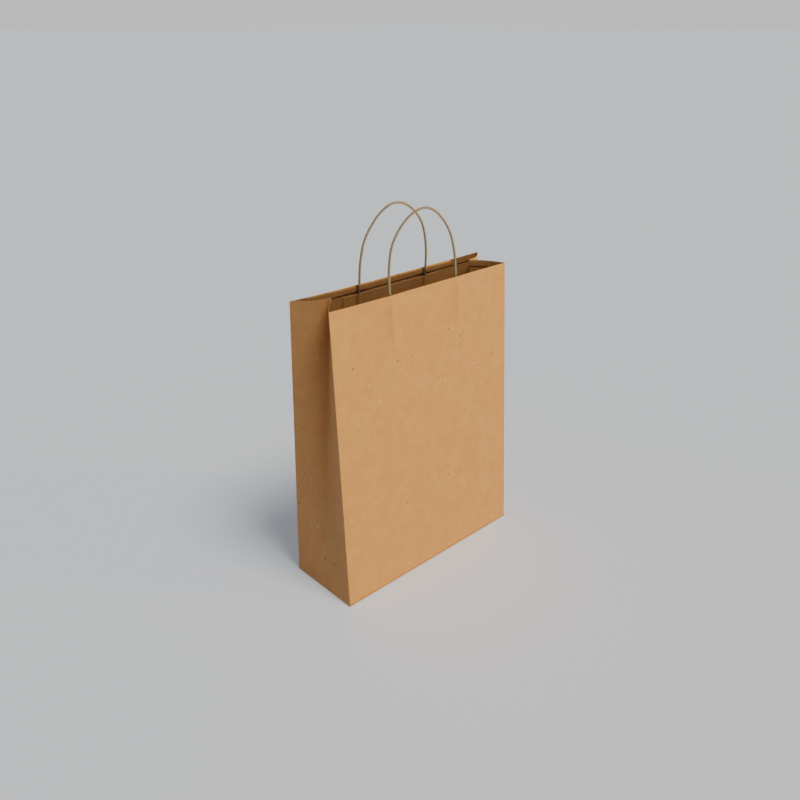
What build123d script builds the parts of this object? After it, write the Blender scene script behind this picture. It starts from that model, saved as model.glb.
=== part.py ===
from build123d import *
import math
import os

# A paper gift bag with gusseted sides, a folded block bottom and two twisted cord handles.
# The origin is at the middle of the bottom, +Z is up, -Y is the front. Millimetres and degrees.

os.makedirs("parts", exist_ok=True)

# The bag
bag_width = 320.0
bag_depth = 115.0
wall_height = 410.0
rim_lean = 27.0            # how far each wall's rim stands in from its bottom edge
gusset_tuck = 44.0         # how far each gusset's middle crease is folded in at the rim
paper_gauge = 0.3
fold_gap = 0.3             # clearance along a crease between two panels that move
glue_gap = 0.05            # clearance of a cord in its channel

# The block bottom
bottom_overlap = 24.0      # the two long flaps lap over each other by this much
side_flap_reach = 64.0
side_flap_tip = 24.0

# The turned-in rim and the glued side seam
hem_width = 10.0
seam_width = 18.0
seam_inset = 6.0

# The handle patches
patch_width = 168.0
patch_height = 42.0
patch_drop = 12.0          # from the rim down to the patch's upper edge

# The cord handles
cord_diameter = 3.5
handle_span = 118.0        # between the two legs of one handle
leg_end_lift = 4.0         # a leg ends this far above its patch's lower edge
leg_above_rim = 0.4
swing_height = 2.5         # the handle bends on a line this far above the rim

# Points of each loop: across the bag, and up the handle's own plane from the rim
leg = handle_span / 2
front_loop_points = [
    (-leg, swing_height), (-58.5, 33), (-51, 65), (-20, 94),
    (16, 99), (47, 70), (58.5, 36), (leg, swing_height),
]
back_loop_points = [
    (-leg, swing_height), (-59, 31), (-52, 64), (-21, 97),
    (13, 98), (46, 70), (57, 36), (leg, swing_height),
]
arc_share = 0.45           # of the shorter run that an arc may take up

# Worked out from the sizes above
lean_angle = math.asin(rim_lean / wall_height)
rim_z = wall_height * math.cos(lean_angle)
cord_radius = cord_diameter / 2
cord_inset = 2 * paper_gauge + cord_radius + glue_gap
channel_width = cord_diameter + 2 * glue_gap
panel_width = bag_width - 2 * (paper_gauge + fold_gap)
floor_top = 3 * paper_gauge + fold_gap
FRONT = -1
BACK = 1
LEFT = -1
RIGHT = 1


def save(part, label):
    """Name a finished piece and write it to its own file."""
    part.label = label
    export_step(part, f"parts/{label}.step")


def wall_plane(side):
    """The outer face of the front or back wall: x across it, y up it, z out of the bag."""
    return Plane(
        origin=(0, side * bag_depth / 2, 0),
        x_dir=(-side, 0, 0),
        z_dir=(0, side * math.cos(lean_angle), math.sin(lean_angle)),
    )


def sheet_on_wall(side, layer, centre, size):
    """A flat piece of paper on the wall's given layer, counted inwards from its outer face."""
    with BuildPart() as sheet:
        with BuildSketch(wall_plane(side).offset(-layer * paper_gauge)):
            with Locations(centre):
                Rectangle(*size)
        extrude(amount=-paper_gauge)
    return sheet.part


# ---- Front and back walls -------------------------------------------------------------

def wall_panel(side):
    lift = fold_gap
    height = wall_height - lift
    return sheet_on_wall(side, 0, (0, lift + height / 2), (panel_width, height))


def rim_hem(side):
    """The top edge of the wall, turned in once and glued down."""
    return sheet_on_wall(side, 1, (0, wall_height - hem_width / 2), (panel_width, hem_width))


def side_seam():
    """The glued lap that closes the sheet into a tube, inside the back wall."""
    height = wall_height - hem_width - floor_top - fold_gap
    across = panel_width / 2 - seam_inset - seam_width / 2
    return sheet_on_wall(BACK, 1, (across, floor_top + height / 2), (seam_width, height))


def patch_middle():
    """Height up the wall of a handle patch's centre line."""
    return wall_height - patch_drop - patch_height / 2


def handle_patch(side):
    """The strip that lies between the wall and the two cord legs."""
    return sheet_on_wall(side, 1, (0, patch_middle()), (patch_width, patch_height))


def patch_cover(side):
    """The strip over the cord legs, pressed down round each of them."""
    foot = wall_plane(side).offset(-2 * paper_gauge)
    hat_width = channel_width + 2 * paper_gauge
    with BuildPart() as cover:
        with BuildSketch(foot):
            with Locations((0, patch_middle())):
                Rectangle(patch_width, patch_height)
        extrude(amount=-paper_gauge)
        with BuildSketch(foot):
            with Locations((-leg, patch_middle()), (leg, patch_middle())):
                Rectangle(hat_width, patch_height)
        extrude(amount=-channel_width - paper_gauge)
        with BuildSketch(foot):
            with Locations((-leg, patch_middle()), (leg, patch_middle())):
                Rectangle(channel_width, patch_height)
        extrude(amount=-channel_width, mode=Mode.SUBTRACT)
    return cover.part


# ---- Cord handles ---------------------------------------------------------------------

def handle_leg(side, across):
    """The straight end of the cord, glued in its patch and standing just over the rim."""
    bottom = wall_height - patch_drop - patch_height + leg_end_lift
    plane = wall_plane(side).offset(-cord_inset)
    start = plane.from_local_coords((across, bottom, 0))
    section = Plane(origin=start, x_dir=plane.x_dir, z_dir=plane.y_dir)
    with BuildPart() as tube:
        with BuildSketch(section):
            Circle(cord_radius)
        extrude(amount=wall_height + leg_above_rim - bottom)
    return tube.part


def corner_radii(points):
    """The largest arc that each corner's two runs leave room for."""
    radii = []
    for before, corner, after in zip(points, points[1:], points[2:]):
        arriving = Vector(*corner) - Vector(*before)
        leaving = Vector(*after) - Vector(*corner)
        half_turn = math.radians(arriving.get_angle(leaving)) / 2
        run = min(arriving.length, leaving.length)
        radii.append(arc_share * run / math.tan(half_turn))
    return radii


def handle_loop(side, points, name):
    """The free arch of a handle, standing in the plane of its wall."""
    route = [(-side * across, wall_height + up) for across, up in points]
    radii = corner_radii(route)
    with BuildPart() as loop:
        with BuildLine(wall_plane(side).offset(-cord_inset)) as path:
            FilletPolyline(*route, radius=radii)
        line = path.wires()[0]
        with BuildSketch(Plane(origin=line @ 0, z_dir=line % 0)):
            Circle(cord_radius)
        sweep(path=line)
    section = math.pi * cord_radius ** 2
    print(name, "radii", [round(r, 1) for r in radii], "length", round(line.length, 1),
          "volume ratio", round(loop.part.volume / (section * line.length), 4))
    return loop.part


# ---- Gussets --------------------------------------------------------------------------

def paper_triangle(corners, inward):
    """A flat triangle of paper whose outer face has these corners."""
    first, second, third = [Vector(*corner) for corner in corners]
    normal = (second - first).cross(third - first)
    plane = Plane(origin=first, x_dir=second - first, z_dir=normal)
    outline = [plane.to_local_coords(point) for point in (first, second, third)]
    along = paper_gauge if normal.dot(Vector(*inward)) > 0 else -paper_gauge
    with BuildPart() as triangle:
        with BuildSketch(plane):
            with BuildLine():
                Polyline(*[(point.X, point.Y) for point in outline], close=True)
            make_face()
        extrude(amount=along)
    return triangle.part


def gusset_half(hand, side):
    """Half of a side gusset, from its wall's edge to the middle crease: two flat triangles
    that meet on the line from the bottom of the crease to the top of the wall's edge."""
    edge_gap = paper_gauge + fold_gap
    edge_y = side * (bag_depth / 2 - edge_gap)
    rim_y = side * (bag_depth / 2 - rim_lean - edge_gap)
    crease_y = side * fold_gap / 2
    outside = hand * bag_width / 2
    crease_x = hand * (bag_width / 2 - gusset_tuck)
    seam = side * fold_gap
    lower = paper_triangle(
        [(outside, edge_y, floor_top), (outside, rim_y + seam, rim_z - fold_gap),
         (outside, crease_y + seam, floor_top)],
        (-hand, 0, 0),
    )
    upper = paper_triangle(
        [(outside, rim_y, rim_z), (crease_x, crease_y, rim_z),
         (outside, crease_y, floor_top + fold_gap)],
        (-hand, 0, 0),
    )
    return Compound(children=[lower, upper])


# ---- Block bottom ---------------------------------------------------------------------

def bottom_long_flap(side, layer):
    """A flap folded in from the front or back wall, with its corners mitred."""
    edge = bag_depth / 2 - paper_gauge - fold_gap
    wide = panel_width / 2
    narrow = wide - edge
    reach = bottom_overlap / 2
    with BuildPart() as flap:
        with BuildSketch(Plane.XY.offset(layer * paper_gauge)):
            with BuildLine():
                Polyline(
                    (-wide, side * edge), (wide, side * edge), (narrow, 0),
                    (narrow, -side * reach), (-narrow, -side * reach), (-narrow, 0),
                    close=True,
                )
            make_face()
        extrude(amount=paper_gauge)
    return flap.part


def bottom_side_flap(hand, layer):
    """A flap folded in from a gusset, inside the two long flaps."""
    outer = hand * panel_width / 2
    inner = outer - hand * side_flap_reach
    edge = bag_depth / 2 - paper_gauge - fold_gap
    tip = side_flap_tip / 2
    with BuildPart() as flap:
        with BuildSketch(Plane.XY.offset(layer * paper_gauge)):
            with BuildLine():
                Polyline(
                    (outer, -edge), (inner, -tip), (inner, tip), (outer, edge),
                    close=True,
                )
            make_face()
        extrude(amount=paper_gauge)
    return flap.part


# ---- The whole bag --------------------------------------------------------------------

walls = [(FRONT, "front", front_loop_points), (BACK, "back", back_loop_points)]
for side, name, points in walls:
    save(wall_panel(side), f"{name}_panel")
    save(rim_hem(side), f"{name}_hem")
    save(handle_patch(side), f"{name}_handle_patch")
    save(patch_cover(side), f"{name}_patch_cover")
    save(handle_leg(side, side * leg), f"{name}_handle_left_leg")
    save(handle_leg(side, -side * leg), f"{name}_handle_right_leg")
    save(handle_loop(side, points, name), f"{name}_handle_loop")

save(side_seam(), "side_seam")

for hand, name in [(LEFT, "left"), (RIGHT, "right")]:
    save(gusset_half(hand, FRONT), f"{name}_gusset_front")
    save(gusset_half(hand, BACK), f"{name}_gusset_rear")
    save(bottom_side_flap(hand, 2), f"bottom_{name}_flap")

save(bottom_long_flap(FRONT, 0), "bottom_front_flap")
save(bottom_long_flap(BACK, 1), "bottom_back_flap")
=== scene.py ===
import math

import bpy
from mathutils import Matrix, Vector, noise


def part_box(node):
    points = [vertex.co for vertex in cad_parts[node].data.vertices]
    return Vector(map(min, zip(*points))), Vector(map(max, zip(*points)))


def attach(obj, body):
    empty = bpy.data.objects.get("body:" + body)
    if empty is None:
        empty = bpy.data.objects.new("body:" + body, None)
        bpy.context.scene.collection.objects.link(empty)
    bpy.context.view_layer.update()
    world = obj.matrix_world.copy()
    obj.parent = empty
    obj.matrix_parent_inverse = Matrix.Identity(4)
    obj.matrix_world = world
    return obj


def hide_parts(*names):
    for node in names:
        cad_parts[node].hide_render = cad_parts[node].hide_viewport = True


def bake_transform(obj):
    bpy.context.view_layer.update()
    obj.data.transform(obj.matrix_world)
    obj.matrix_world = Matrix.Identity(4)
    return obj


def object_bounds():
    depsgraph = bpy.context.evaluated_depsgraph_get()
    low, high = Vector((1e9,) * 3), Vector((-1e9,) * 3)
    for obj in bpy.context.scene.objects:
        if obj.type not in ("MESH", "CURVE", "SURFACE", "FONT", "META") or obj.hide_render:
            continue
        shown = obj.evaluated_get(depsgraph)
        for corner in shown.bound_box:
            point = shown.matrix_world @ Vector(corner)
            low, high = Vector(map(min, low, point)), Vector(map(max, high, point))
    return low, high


# A kraft paper gift bag: one sheet of paper folded into walls, gussets and a block bottom,
# with a turned-in rim, two glued handle patches and two twisted paper cords.

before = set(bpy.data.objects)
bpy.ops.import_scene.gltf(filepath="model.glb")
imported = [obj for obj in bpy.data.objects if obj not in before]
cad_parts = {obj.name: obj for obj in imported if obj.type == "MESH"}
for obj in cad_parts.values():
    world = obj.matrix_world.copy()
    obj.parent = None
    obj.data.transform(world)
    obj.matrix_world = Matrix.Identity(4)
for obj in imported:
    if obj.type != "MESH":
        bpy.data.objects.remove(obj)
cad_low, cad_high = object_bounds()

MM = 0.001
FRONT, BACK = -1, 1
LEFT, RIGHT = -1, 1
WALL_NAME = {FRONT: "front", BACK: "back"}
HAND_NAME = {LEFT: "left", RIGHT: "right"}
GUSSET_END = {FRONT: "front", BACK: "rear"}

# ---- Sizes, from the frame --------------------------------------------------------------

panel_low, panel_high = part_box("front_panel")
seam_low, seam_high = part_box("side_seam")
patch_low, patch_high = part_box("front_handle_patch")
hem_low, hem_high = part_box("front_hem")
flap_low, flap_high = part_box("bottom_front_flap")

GAUGE = flap_high.z - flap_low.z
HALF_WIDTH = cad_high.x
HALF_DEPTH = -panel_low.y
RIM_Z = panel_high.z
RIM_Y = -panel_high.y + GAUGE
LEAN = math.atan2(HALF_DEPTH - RIM_Y, RIM_Z)
WALL_HEIGHT = RIM_Z / math.cos(LEAN)
FLOOR_TOP = 3 * GAUGE
HEM_WIDTH = (hem_high.z - hem_low.z) / math.cos(LEAN)
PATCH_HALF_WIDTH = patch_high.x
PATCH_TOP = patch_high.z / math.cos(LEAN)
PATCH_BOTTOM = patch_low.z / math.cos(LEAN)

# ---- How this bag has settled -----------------------------------------------------------

# Where each corner of the rim stands, away from its place on a perfectly flat wall
CORNER_SHIFT = {
    (FRONT, LEFT): Vector((4.0, 0.5, 1.5)) * MM,
    (FRONT, RIGHT): Vector((-1.5, 1.0, -1.0)) * MM,
    (BACK, LEFT): Vector((-1.5, 8.5, -1.0)) * MM,
    (BACK, RIGHT): Vector((4.0, -3.5, 2.0)) * MM,
}
# Where each gusset's middle crease stands at the rim: in from its side, and behind the middle
CREASE_TUCK = {LEFT: 42 * MM, RIGHT: 34 * MM}
CREASE_BACK = {LEFT: 12.5 * MM, RIGHT: 10 * MM}
CREASE_LIFT = 1.8 * MM
# How far each half gusset bows out, and where along it from the wall to the crease
BOW = {
    (LEFT, FRONT): (0.5 * MM, 0.5),
    (LEFT, BACK): (5.2 * MM, 0.64),
    (RIGHT, FRONT): (3.5 * MM, 0.5),
    (RIGHT, BACK): (5.0 * MM, 0.6),
}
FOLD_RADIUS = 1.3 * MM
WAVE = 0.7 * MM            # how far the paper strays from flat
FOLD_HEIGHT = 2.4 * MM     # how far a cord's leg presses the wall out
FOLD_SPREAD = 9.0 * MM
PAPER = 0.16 * MM          # the paper as it looks; the frame's sheets are thicker
HEM_GAP = 1.06             # from the wall to its turned-in hem, in paper thicknesses

# ---- Cords ------------------------------------------------------------------------------

CORD_DIAMETER = 3.5 * MM
CORD_INSET = 2 * GAUGE + CORD_DIAMETER / 2 + 0.05 * MM
LEG = 59 * MM
LEG_END = PATCH_BOTTOM + 4 * MM
CORD_POINTS = {
    FRONT: [
        (-59, 2.5), (-58.5, 33), (-51, 65), (-20, 94),
        (16, 99), (47, 70), (58.5, 36), (59, 2.5),
    ],
    BACK: [
        (-59, 2.5), (-59, 31), (-52, 64), (-21, 97),
        (13, 98), (46, 70), (57, 36), (59, 2.5),
    ],
}


# ---- The paper's shape ------------------------------------------------------------------

def smooth(value):
    value = min(max(value, 0.0), 1.0)
    return value * value * (3 - 2 * value)


def corner_share(across):
    """How much of the left and right corners' shift reaches this place across a wall."""
    return max(0.0, -across) ** 3, max(0.0, across) ** 3


def wall_point(side, across, up):
    """A point of a wall: across from -1 to 1, and metres up the wall from its bottom fold."""
    rise = up / WALL_HEIGHT
    left, right = corner_share(across)
    flat = Vector((
        across * HALF_WIDTH,
        side * (HALF_DEPTH - up * math.sin(LEAN)),
        up * math.cos(LEAN),
    ))
    shift = CORNER_SHIFT[side, LEFT] * left + CORNER_SHIFT[side, RIGHT] * right
    return flat + shift * rise + wall_out(side) * wall_wave(side, across, up)


def wall_out(side):
    return Vector((0, side * math.cos(LEAN), math.sin(LEAN)))


def wall_wave(side, across, up):
    """The slow waves of a sheet that has been folded flat and opened again."""
    rise = up / WALL_HEIGHT
    if rise <= 0 or rise >= 1:
        return 0.0
    place = Vector((across * 1.7, side * 3.1, rise * 2.1))
    fade = (1 - across ** 4) * math.sin(math.pi * rise) * (1 - smooth((rise - 0.72) / 0.14))
    return WAVE * fade * noise.noise(place)


def crease_point(hand, up):
    """A point of a gusset's middle crease, which tips inwards as it rises."""
    rise = up / WALL_HEIGHT
    tip = math.asin(CREASE_TUCK[hand] / WALL_HEIGHT)
    return Vector((
        hand * (HALF_WIDTH - up * math.sin(tip)),
        CREASE_BACK[hand] * rise,
        up * math.cos(tip) + CREASE_LIFT * rise,
    ))


def gusset_point(hand, side, along, up):
    """A point of half a gusset: along from its wall's fold, 0, to the middle crease, 1."""
    start = wall_point(side, hand, up)
    end = crease_point(hand, up)
    rise = up / WALL_HEIGHT
    height, peak = BOW[hand, side]
    if along < peak:
        bulge = math.sin(0.5 * math.pi * along / peak)
    else:
        bulge = math.cos(0.5 * math.pi * (along - peak) / (1 - peak))
    run = end - start
    out = Vector((run.y, -run.x, 0)).normalized()
    if out.x * hand < 0:
        out.negate()
    place = Vector((along * 1.3 + hand * 4, side * 2.2, rise * 2.6))
    wave = WAVE * math.sin(math.pi * along) * math.sin(math.pi * rise) * noise.noise(place)
    return start + run * along + out * (height * bulge * rise + wave)


# ---- Sheets of paper --------------------------------------------------------------------

def grid_normals(rows):
    """The normal at each point of a grid of points."""
    normals = []
    last_row, last_column = len(rows) - 1, len(rows[0]) - 1
    for i, row in enumerate(rows):
        line = []
        for j in range(len(row)):
            across = row[min(j + 1, last_column)] - row[max(j - 1, 0)]
            up = rows[min(i + 1, last_row)][j] - rows[max(i - 1, 0)][j]
            line.append(across.cross(up).normalized())
        normals.append(line)
    return normals


def sheet_of_paper(name, rows, material, wear=None):
    """A closed sheet as thick as the paper, half on each side of a grid of points. The
    sheet faces the way of across x up. Wear is a value per grid point, kept on the mesh."""
    normals = grid_normals(rows)
    count = len(rows[0])
    points, marks = [], []
    for reach in (PAPER / 2, -PAPER / 2):
        for i, row in enumerate(rows):
            for j, point in enumerate(row):
                points.append(point + normals[i][j] * reach)
                marks.append(wear[i][j] if wear else 0.0)
    layer = len(rows) * count
    faces = []
    for i in range(len(rows) - 1):
        for j in range(count - 1):
            a = i * count + j
            quad = (a, a + 1, a + 1 + count, a + count)
            faces.append(quad)
            faces.append(tuple(layer + k for k in reversed(quad)))
    edge = list(range(count))
    edge += [i * count + count - 1 for i in range(1, len(rows))]
    edge += [(len(rows) - 1) * count + j for j in range(count - 2, -1, -1)]
    edge += [i * count for i in range(len(rows) - 2, 0, -1)]
    for a, b in zip(edge, edge[1:] + edge[:1]):
        faces.append((b, a, layer + a, layer + b))
    return solid(name, points, faces, material, marks)


def solid(name, points, faces, material, marks=None):
    mesh = bpy.data.meshes.new(name)
    mesh.from_pydata(points, [], faces)
    mesh.polygons.foreach_set("use_smooth", [True] * len(mesh.polygons))
    if marks:
        # this attribute holds fold wear on the sheets and painted groove shade on the cords
        layer = mesh.attributes.new("wear", "FLOAT", "POINT")
        layer.data.foreach_set("value", marks)
    mesh.materials.append(material)
    mesh.validate()
    mesh.update()
    piece = bpy.data.objects.new(name, mesh)
    bpy.context.collection.objects.link(piece)
    return piece


def steps(start, end, size):
    """Evenly spaced values from start to end, about size apart."""
    count = max(1, round(abs(end - start) / size))
    return [start + (end - start) * k / count for k in range(count + 1)]


def fold_arc(before, corner, after, first_half):
    """Points round half of a soft fold at a corner, up to or from the middle of the fold."""
    into = (corner - before).normalized() * FOLD_RADIUS
    out = (after - corner).normalized() * FOLD_RADIUS
    start, end = corner - into, corner + out
    ticks = (0.0, 0.17, 0.34, 0.5) if first_half else (0.5, 0.66, 0.83, 1.0)
    return [
        start * (1 - k) ** 2 + corner * (2 * k * (1 - k)) + end * k ** 2
        for k in ticks
    ]


NEAR = 0.02                # a short step, used for the direction at a fold
FLAT_FROM = 1.6            # where the flat starts, in fold radii from the corner
FOLD_POINTS = 4            # points round each half fold
GUSSET_STEPS = 26
COLUMN_STEP = 1.3 * MM
ROW_STEP = 5.0 * MM
RIM_ROW_STEP = 2.2 * MM
HEM_ROW_STEP = 2.0 * MM
RIM_ZONE = 0.84            # the share of the height where the rows come closer together


def walls_row(side, up):
    """One level row across a wall, from the middle of one side fold to the other."""
    corners = [wall_point(side, hand, up) for hand in (LEFT, RIGHT)]
    inside = [wall_point(side, across, up) for across in (LEFT * (1 - NEAR), RIGHT * (1 - NEAR))]
    beyond = [gusset_point(hand, side, NEAR, up) for hand in (LEFT, RIGHT)]
    reach = FOLD_RADIUS / HALF_WIDTH
    middle = [
        wall_point(side, across, up)
        for across in steps(reach * FLAT_FROM - 1, 1 - reach * FLAT_FROM, COLUMN_STEP / HALF_WIDTH)
    ]
    start = fold_arc(beyond[0], corners[0], inside[0], False)
    end = fold_arc(inside[1], corners[1], beyond[1], True)
    return start + middle + end


def gusset_row(hand, side, up):
    """One level row of half a gusset, from its wall's fold to the middle crease."""
    corner, crease = wall_point(side, hand, up), crease_point(hand, up)
    run = (crease - corner).length
    reach = FOLD_RADIUS / run
    start = fold_arc(
        wall_point(side, hand * (1 - NEAR), up), corner,
        gusset_point(hand, side, NEAR, up), False,
    )
    end = fold_arc(
        gusset_point(hand, side, 1 - NEAR, up), crease,
        gusset_point(hand, -side, 1 - NEAR, up), True,
    )
    first, last = reach * FLAT_FROM, 1 - reach * FLAT_FROM
    middle = [
        gusset_point(hand, side, first + (last - first) * k / GUSSET_STEPS, up)
        for k in range(GUSSET_STEPS + 1)
    ]
    return start + middle + end


def with_turned_rim(rows, inward):
    """Adds the rim's fold and the hem that is turned down inside, as more rows."""
    gap = PAPER * HEM_GAP
    top, below = rows[-1], rows[-2]
    bend = []
    for turn in (30, 60, 90, 120, 150):
        angle = math.radians(turn)
        row = []
        for j, point in enumerate(top):
            lift = (point - below[j]).normalized()
            row.append(point + lift * (gap / 2 * math.sin(angle))
                       + inward[j] * (gap / 2 * (1 - math.cos(angle))))
        bend.append(row)
    hem = []
    for down in steps(0.0, HEM_WIDTH, HEM_ROW_STEP):
        row = []
        for j, point in enumerate(top):
            lift = (point - below[j]).normalized()
            row.append(point - lift * down + inward[j] * gap)
        hem.append(row)
    return rows + bend + hem


def inward_of(rows):
    """The inward direction at each point of the top row."""
    return [-normal for normal in grid_normals(rows[-2:])[-1]]


def wear_of(rows):
    """1 on the folds at the sheet's two sides, 0 on the flat of it."""
    last = len(rows[0]) - 1
    return [
        [1.0 if min(j, last - j) < FOLD_POINTS else 0.0 for j in range(len(row))]
        for row in rows
    ]


def levels():
    """Heights of the rows up the paper, closer together at the rim."""
    change = WALL_HEIGHT * RIM_ZONE
    return steps(FLOOR_TOP, change, ROW_STEP) + steps(change, WALL_HEIGHT, RIM_ROW_STEP)[1:]


# ---- Materials --------------------------------------------------------------------------

class Socket:
    """A socket that Python's operators work on: each one adds a Math node."""

    def __init__(self, tree, socket):
        self.tree, self.socket = tree, socket

    def combine(self, operation, other, swap=False):
        first, second = (other, self) if swap else (self, other)
        return self.tree.add("ShaderNodeMath", {"operation": operation}, [first, second])

    def __add__(self, other):
        return self.combine("ADD", other)

    def __radd__(self, other):
        return self.combine("ADD", other, True)

    def __sub__(self, other):
        return self.combine("SUBTRACT", other)

    def __rsub__(self, other):
        return self.combine("SUBTRACT", other, True)

    def __mul__(self, other):
        return self.combine("MULTIPLY", other)

    def __rmul__(self, other):
        return self.combine("MULTIPLY", other, True)

    def __truediv__(self, other):
        return self.combine("DIVIDE", other)

    def __pow__(self, other):
        return self.combine("POWER", other)

    def ramp(self, low, high):
        """0 below low, 1 above high and a smooth step between."""
        return self.tree.add(
            "ShaderNodeMapRange", {"interpolation_type": "SMOOTHSTEP"},
            {"Value": self, "From Min": low, "From Max": high},
        )


class Finish:
    """A material under construction."""

    def __init__(self, name):
        self.material = bpy.data.materials.new(name)
        self.material.use_nodes = True
        self.nodes = self.material.node_tree.nodes
        self.links = self.material.node_tree.links
        self.shader = self.nodes["Principled BSDF"]

    def add(self, kind, settings=None, inputs=None, output=0):
        """Any node: its type, its settings, and the values or links of its sockets."""
        node = self.nodes.new(kind)
        for key, value in (settings or {}).items():
            if key == "stops":
                self.set_stops(node.color_ramp, value)
            else:
                setattr(node, key, value)
        pairs = inputs.items() if isinstance(inputs, dict) else enumerate(inputs or [])
        for key, value in pairs:
            self.feed(node.inputs[key], value)
        return Socket(self, node.outputs[output])

    def feed(self, target, value):
        if isinstance(value, Socket):
            self.links.new(value.socket, target)
        elif value is not None:
            target.default_value = value

    def set_stops(self, ramp, stops):
        while len(ramp.elements) < len(stops):
            ramp.elements.new(0.5)
        for element, (place, colour) in zip(ramp.elements, stops):
            element.position = place
            element.color = colour

    def place(self, scale):
        """Object coordinates, stretched by a scale for each axis."""
        here = self.add("ShaderNodeTexCoord", output="Object")
        return self.add("ShaderNodeVectorMath", {"operation": "MULTIPLY"}, [here, scale])

    def noise(self, vector, scale, detail=2.0, roughness=0.5):
        return self.add(
            "ShaderNodeTexNoise", {"noise_dimensions": "3D"},
            {"Vector": vector, "Scale": scale, "Detail": detail, "Roughness": roughness},
            "Fac",
        )

    def cells(self, vector, scale, output):
        return self.add(
            "ShaderNodeTexVoronoi", {"feature": "F1"},
            {"Vector": vector, "Scale": scale}, output,
        )

    def mix(self, share, first, second, kind="MIX"):
        """Two colours mixed by a share."""
        node = self.nodes.new("ShaderNodeMix")
        node.data_type = "RGBA"
        node.blend_type = kind
        self.feed(node.inputs["Factor"], share)
        self.feed(node.inputs[6], first)
        self.feed(node.inputs[7], second)
        return Socket(self, node.outputs[2])

    def bump(self, height, distance, strength=1.0, normal=None):
        return self.add(
            "ShaderNodeBump", {},
            {"Height": height, "Distance": distance, "Strength": strength, "Normal": normal},
        )

    def set(self, **values):
        for key, value in values.items():
            self.feed(self.shader.inputs[key.replace("_", " ")], value)
        return self.material


def colour(red, green, blue):
    """A colour given as the eye sees it, from 0 to 255, as the shader wants it."""
    def linear(value):
        value /= 255
        return value / 12.92 if value <= 0.04045 else ((value + 0.055) / 1.055) ** 2.4
    return (linear(red), linear(green), linear(blue), 1.0)


def kraft_finish(name, base, pale, dark):
    """Brown machine-glazed kraft: cloudy pulp, fine upright fibres, and scattered flecks."""
    finish = Finish(name)
    even = finish.place((1.0, 1.0, 1.0))
    upright = finish.place((1.0, 1.0, 0.16))
    level = finish.place((0.3, 0.3, 1.0))
    cloud = finish.noise(even, 55.0, 3.0, 0.6)
    grain = finish.noise(even, 900.0, 2.0, 0.6)
    fibre = finish.noise(upright, 1100.0, 2.0, 0.55)
    thread = finish.noise(level, 620.0, 1.0, 0.5)
    tone = cloud * 0.55 + fibre * 0.5 + grain * 0.35 + thread * 0.2
    tint = finish.mix(tone.ramp(0.52, 1.08), dark, pale)
    tint = finish.mix(0.45, base, tint)
    warm = finish.noise(finish.place((1.3, 1.3, 0.9)), 17.0, 2.0, 0.5)
    tint = finish.mix(warm.ramp(0.35, 0.7) * 0.22, tint, colour(192, 122, 66))
    for stretch, scale, size, luck, strength, shade in (
        ((1.0, 1.0, 0.45), 150.0, (0.07, 0.16), 0.86, 0.5, colour(104, 66, 34)),
        ((0.5, 0.5, 1.0), 190.0, (0.08, 0.2), 0.87, 0.5, colour(224, 180, 128)),
        ((1.0, 1.0, 0.8), 84.0, (0.08, 0.15), 0.79, 0.8, colour(108, 70, 38)),
        ((0.55, 0.55, 1.0), 96.0, (0.08, 0.16), 0.78, 0.48, colour(234, 192, 138)),
    ):
        where = finish.place(stretch)
        reach = finish.cells(where, scale, "Distance")
        chance = finish.cells(where, scale, "Color").ramp(luck, luck + 0.02)
        fleck = (1 - reach.ramp(*size)) * chance
        tint = finish.mix(fleck * strength, tint, shade)
    # fold wear on the sheets; the cords keep their painted groove shade in the same attribute
    wear = finish.add("ShaderNodeAttribute", {"attribute_name": "wear"}, {}, "Fac")
    scuff = wear * (grain * 0.6 + fibre * 0.6).ramp(0.45, 0.75)
    tint = finish.mix(scuff * 0.35, tint, pale)
    rough = 0.62 + grain * 0.2 + wear * 0.08
    relief = fibre * 0.6 + grain * 0.4 + thread * 0.25
    return finish.set(
        Base_Color=tint, Roughness=rough, Specular_IOR_Level=0.32,
        Normal=finish.bump(relief, 0.00012, 0.55),
    )


def cord_finish():
    """Paper wound into a cord: a greyer kraft, streaked along its strands, with painted shade
    darkening the grooves between the strands.
    """
    finish = Finish("twisted_paper_cord")
    even = finish.place((1.0, 1.0, 1.0))
    streak = finish.noise(finish.place((1.0, 1.0, 0.35)), 1500.0, 2.0, 0.6)
    cloud = finish.noise(even, 180.0, 2.0, 0.5)
    tint = finish.mix(streak.ramp(0.3, 0.7), colour(130, 112, 90), colour(178, 157, 130))
    tint = finish.mix(cloud.ramp(0.4, 0.7) * 0.3, tint, colour(146, 120, 92))
    groove_shade = finish.add("ShaderNodeAttribute", {"attribute_name": "wear"}, {}, "Fac")
    # painted shade: the cord's colour is darkened in the grooves between its strands
    tint = finish.mix(groove_shade * 0.45, tint, colour(92, 70, 50))
    return finish.set(
        Base_Color=tint, Roughness=0.7 + streak * 0.15, Specular_IOR_Level=0.3,
        Normal=finish.bump(streak, 0.00015, 0.6),
    )


kraft = kraft_finish("kraft_paper", colour(184, 131, 76), colour(200, 149, 92),
                     colour(160, 109, 59))
patch_kraft = kraft_finish("patch_paper", colour(182, 129, 75), colour(198, 147, 91),
                           colour(158, 107, 58))
cord_paper = cord_finish()


# ---- Camera -----------------------------------------------------------------------------

def make_camera():
    data = bpy.data.cameras.new("camera")
    data.sensor_width = 36.0
    data.lens = 35.75
    camera = bpy.data.objects.new("camera", data)
    camera.location = Vector((-688.0, -717.2, 717.8)) * MM
    camera.rotation_euler = (math.radians(90 - 25.81), math.radians(-0.1), math.radians(-43.15))
    bpy.context.collection.objects.link(camera)
    bpy.context.scene.camera = camera


make_camera()


# ---- Cord handles -----------------------------------------------------------------------

STRANDS = 3
TWIST_LENGTH = 11.0 * MM
STRAND_RADIUS = CORD_DIAMETER / 2 / (1 + 2 / math.sqrt(3))
STRAND_OFFSET = STRAND_RADIUS * 2 / math.sqrt(3)
ROUND = 36                 # points round the cord
RING_STEP = 0.55 * MM


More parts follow.
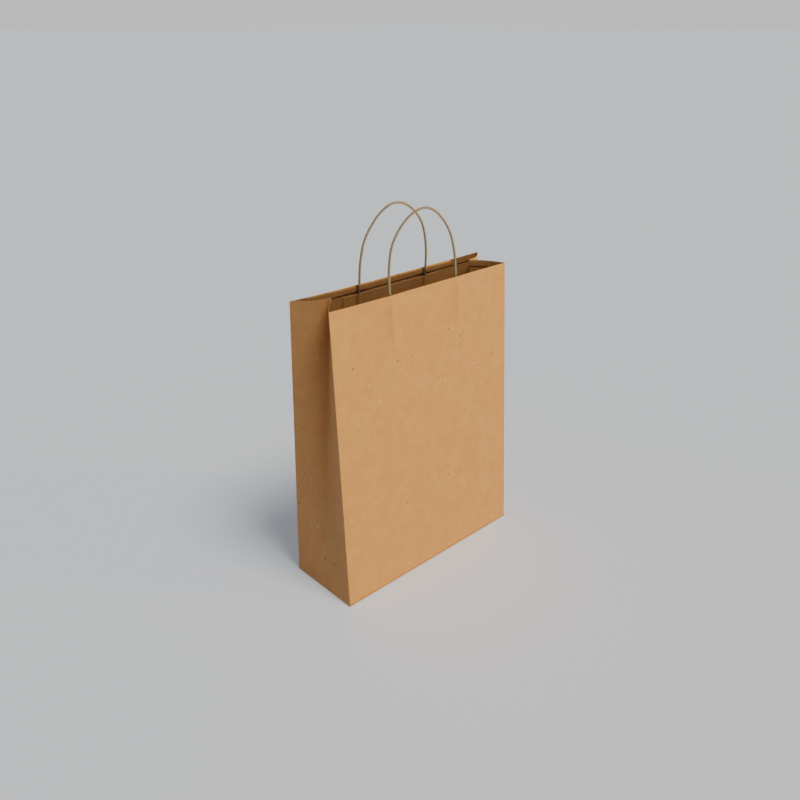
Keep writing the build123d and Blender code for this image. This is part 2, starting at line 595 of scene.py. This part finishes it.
def in_handle_plane(side, across, up):
    """A point of a handle's own plane, given across the bag and up from the rim."""
    on_wall = wall_point(side, across / HALF_WIDTH, WALL_HEIGHT)
    rise = Vector((0, -side * math.sin(LEAN), math.cos(LEAN)))
    return on_wall + rise * up - wall_out(side) * CORD_INSET


def handle_route(side):
    """The cord's points from the end of one leg to the end of the other."""
    points = [in_handle_plane(side, x * MM, z * MM) for x, z in CORD_POINTS[side]]
    low = LEG_END - WALL_HEIGHT
    start = in_handle_plane(side, -LEG, low)
    end = in_handle_plane(side, LEG, low)
    return [start] + points + [end]


def spline_points(name, control):
    """Points sampled along the smooth curve through a cord's route."""
    data = bpy.data.curves.new(name, "CURVE")
    data.dimensions = "3D"
    data.resolution_u = 48
    spline = data.splines.new("NURBS")
    spline.points.add(len(control) - 1)
    for point, place in zip(spline.points, control):
        point.co = (*place, 1.0)
    spline.order_u = 3
    spline.use_endpoint_u = True
    curve = bpy.data.objects.new(name, data)
    mesh = bpy.data.meshes.new_from_object(curve)
    points = [vertex.co.copy() for vertex in mesh.vertices]
    bpy.data.objects.remove(curve)
    bpy.data.meshes.remove(mesh)
    return points


def evenly(points, step):
    """The same line, walked in even steps."""
    lengths = [0.0]
    for a, b in zip(points, points[1:]):
        lengths.append(lengths[-1] + (b - a).length)
    total = lengths[-1]
    walked, k = [], 0
    for distance in steps(0.0, total, step):
        while k < len(points) - 2 and lengths[k + 1] < distance:
            k += 1
        span = lengths[k + 1] - lengths[k]
        share = (distance - lengths[k]) / span if span > 0 else 0.0
        walked.append(points[k].lerp(points[k + 1], min(share, 1.0)))
    return walked, total


def strand_reach(angle):
    """How far the outline of three strands laid together reaches at an angle."""
    sector = 2 * math.pi / STRANDS
    off = (angle + sector / 2) % sector - sector / 2
    side = STRAND_OFFSET * math.sin(off)
    return STRAND_OFFSET * math.cos(off) + math.sqrt(max(STRAND_RADIUS ** 2 - side ** 2, 0.0))


def twisted_cord(side):
    name = WALL_NAME[side]
    line, length = evenly(spline_points(f"{name}_route", handle_route(side)), RING_STEP)
    points, marks, faces = [], [], []
    flat = wall_out(side)
    full = STRAND_RADIUS + STRAND_OFFSET
    for k, centre in enumerate(line):
        ahead = line[min(k + 1, len(line) - 1)] - line[max(k - 1, 0)]
        along = ahead.normalized()
        beside = flat.cross(along).normalized()
        twist = 2 * math.pi * k * length / (len(line) - 1) / TWIST_LENGTH
        worn = 1 + 0.025 * noise.noise(centre * 240)
        for step in range(ROUND):
            angle = 2 * math.pi * step / ROUND
            reach = strand_reach(angle - twist)
            # painted shade mark: near 1 in the grooves between the strands, where the cord's
            # colour is darkened
            marks.append(1 - smooth((reach / full - 0.55) / 0.4))
            out = flat * math.cos(angle) + beside * math.sin(angle)
            points.append(centre + out * (reach * worn))
    for k in range(len(line) - 1):
        for step in range(ROUND):
            a, b = k * ROUND + step, k * ROUND + (step + 1) % ROUND
            faces.append((a, b, b + ROUND, a + ROUND))
    faces.append(tuple(range(ROUND - 1, -1, -1)))
    last = (len(line) - 1) * ROUND
    faces.append(tuple(last + step for step in range(ROUND)))
    cord = solid(f"{name}_cord_handle", points, faces, cord_paper, marks)
    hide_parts(f"{name}_handle_loop", f"{name}_handle_left_leg",
                f"{name}_handle_right_leg")
    start = in_handle_plane(side, 0, -1.5 * MM)
    end = in_handle_plane(side, 0, 11 * MM)
    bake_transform(cord)
    return cord


for side in (FRONT, BACK):
    twisted_cord(side)


# ---- Walls, gussets and what is glued inside --------------------------------------------

def leg_ridge(across, up):
    """The cord legs under the paper press it out into a soft upright fold over each leg."""
    from_leg = abs(abs(across * HALF_WIDTH) - LEG)
    fold = math.exp(-(math.hypot(from_leg, FOLD_RADIUS) - FOLD_RADIUS) / FOLD_SPREAD)
    over_leg = smooth((up - LEG_END + 6 * MM) / (8 * MM))
    under_leg = smooth((up - LEG_END + 50 * MM) / (60 * MM))
    press = (0.7 * over_leg + 0.3 * under_leg) * (1 - 0.6 * smooth((up - PATCH_TOP) / HEM_WIDTH))
    patch = abs(across * HALF_WIDTH) < PATCH_HALF_WIDTH and PATCH_BOTTOM < up < PATCH_TOP
    return FOLD_HEIGHT * fold * press + (0.08 * MM if patch else 0.0)


def make_wall(side):
    rows = []
    for up in levels():
        row = walls_row(side, up)
        for j in range(FOLD_POINTS, len(row) - FOLD_POINTS):
            across = row[j].x / HALF_WIDTH
            row[j] = row[j] + wall_out(side) * leg_ridge(across, up)
        if side == BACK:
            row.reverse()
        rows.append(row)
    rows = with_turned_rim(rows, inward_of(rows))
    name = WALL_NAME[side]
    piece = sheet_of_paper(f"{name}_wall_paper", rows, kraft, wear_of(rows))
    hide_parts(f"{name}_panel", f"{name}_hem")
    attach(piece, f"{name}_wall")


def make_gusset(hand, side):
    rows = []
    for up in levels():
        row = gusset_row(hand, side, up)
        if hand == side:
            row.reverse()
        rows.append(row)
    rows = with_turned_rim(rows, inward_of(rows))
    name = f"{HAND_NAME[hand]}_gusset_{GUSSET_END[side]}"
    piece = sheet_of_paper(f"{name}_paper", rows, kraft, wear_of(rows))
    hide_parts(name)
    rim = wall_point(side, hand, WALL_HEIGHT)
    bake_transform(piece)


BASE_DEPTH = GAUGE * 1.2
COVER_DEPTH = GAUGE * 2.6
SEAM_DEPTH = GAUGE * 1.05
HUMP_HALF_WIDTH = 4.4 * MM
HUMP_SLOPE = 3.2 * MM


def strip_on_wall(name, side, low, high, left, right, depth, material, size):
    """A strip of paper inside a wall, from low to high up it and from left to right."""
    rows = []
    for up in steps(low, high, size):
        row = [
            wall_point(side, x / HALF_WIDTH, up) - wall_out(side) * depth(x)
            for x in steps(left, right, size)
        ]
        if side == BACK:
            row.reverse()
        rows.append(row)
    return sheet_of_paper(name, rows, material)


def patch_depth(x):
    """How deep inside the wall the patch's cover lies: it rises over each cord leg."""
    from_leg = abs(abs(x) - LEG)
    hump = smooth((HUMP_HALF_WIDTH - from_leg) / HUMP_SLOPE)
    return COVER_DEPTH + (CORD_DIAMETER + GAUGE * 0.4) * hump


def make_patch(side):
    name = WALL_NAME[side]
    base = strip_on_wall(
        f"{name}_patch_base_paper", side, PATCH_BOTTOM, PATCH_TOP, -PATCH_HALF_WIDTH,
        PATCH_HALF_WIDTH, lambda x: BASE_DEPTH, patch_kraft, 3.0 * MM,
    )
    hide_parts(f"{name}_handle_patch")
    cover = strip_on_wall(
        f"{name}_patch_cover_paper", side, PATCH_BOTTOM, PATCH_TOP, -PATCH_HALF_WIDTH,
        PATCH_HALF_WIDTH, patch_depth, patch_kraft, 0.9 * MM,
    )
    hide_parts(f"{name}_patch_cover")
    for piece in (base, cover):
        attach(piece, f"{name}_wall")


def make_side_seam():
    top = WALL_HEIGHT - HEM_WIDTH
    piece = strip_on_wall(
        "side_seam_paper", BACK, FLOOR_TOP * 2, top, seam_low.x, seam_high.x,
        lambda x: SEAM_DEPTH, kraft, 4.0 * MM,
    )
    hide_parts("side_seam")
    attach(piece, "back_wall")


for side in (FRONT, BACK):
    make_wall(side)
    make_patch(side)
    for hand in (LEFT, RIGHT):
        make_gusset(hand, side)
make_side_seam()

for node in ("bottom_front_flap", "bottom_back_flap", "bottom_left_flap", "bottom_right_flap"):
    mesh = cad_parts[node].data
    mesh.materials.clear()
    mesh.materials.append(kraft)


# ---- Floor and light --------------------------------------------------------------------

WHITE = (1.0, 1.0, 1.0, 1.0)
FLOOR_GLOW = 0.15          # the floor is a lit table, so that it fills the bag from below


def make_floor():
    finish = Finish("pale_floor")
    finish.set(
        Base_Color=(0.88, 0.88, 0.88, 1.0), Roughness=0.9, Specular_IOR_Level=0.1,
        Emission_Color=WHITE, Emission_Strength=FLOOR_GLOW,
    )
    reach = 60.0
    mesh = bpy.data.meshes.new("floor")
    corners = [(-reach, -reach, 0), (reach, -reach, 0), (reach, reach, 0), (-reach, reach, 0)]
    mesh.from_pydata(corners, [], [(0, 1, 2, 3)])
    mesh.materials.append(finish.material)
    floor = bpy.data.objects.new("floor", mesh)
    floor.location.z = -0.2 * MM
    bpy.context.collection.objects.link(floor)


def make_light(name, azimuth, elevation, strength, softness, tint):
    """Sunlight from a direction: azimuth 0 shines on the front, 90 from the right."""
    data = bpy.data.lights.new(name, "SUN")
    data.energy = strength
    data.angle = math.radians(softness)
    data.color = tint
    light = bpy.data.objects.new(name, data)
    light.rotation_euler = (math.radians(90 - elevation), 0, math.radians(azimuth))
    bpy.context.collection.objects.link(light)


def make_surroundings(horizon, overhead):
    """A pale wall all round, with a dimmer ceiling above it."""
    world = bpy.data.worlds.new("studio")
    world.use_nodes = True
    nodes, links = world.node_tree.nodes, world.node_tree.links
    here = nodes.new("ShaderNodeTexCoord")
    parts = nodes.new("ShaderNodeSeparateXYZ")
    ramp = nodes.new("ShaderNodeValToRGB")
    ramp.color_ramp.interpolation = "EASE"
    for element, place, tint in zip(ramp.color_ramp.elements, (0.03, 0.25), (horizon, overhead)):
        element.position = place
        element.color = (*tint, 1.0)
    links.new(here.outputs["Generated"], parts.inputs["Vector"])
    links.new(parts.outputs["Z"], ramp.inputs["Fac"])
    links.new(ramp.outputs["Color"], nodes["Background"].inputs["Color"])
    nodes["Background"].inputs["Strength"].default_value = 1.0
    bpy.context.scene.world = world


make_floor()
make_light("key", 40, 1.0, 4.15, 3, (1.0, 0.81, 0.26))
make_light("top", 4, 60, 2.0, 24, (1.0, 0.99, 0.96))
make_surroundings((0.74, 0.73, 0.72), (0.09, 0.13, 0.19))
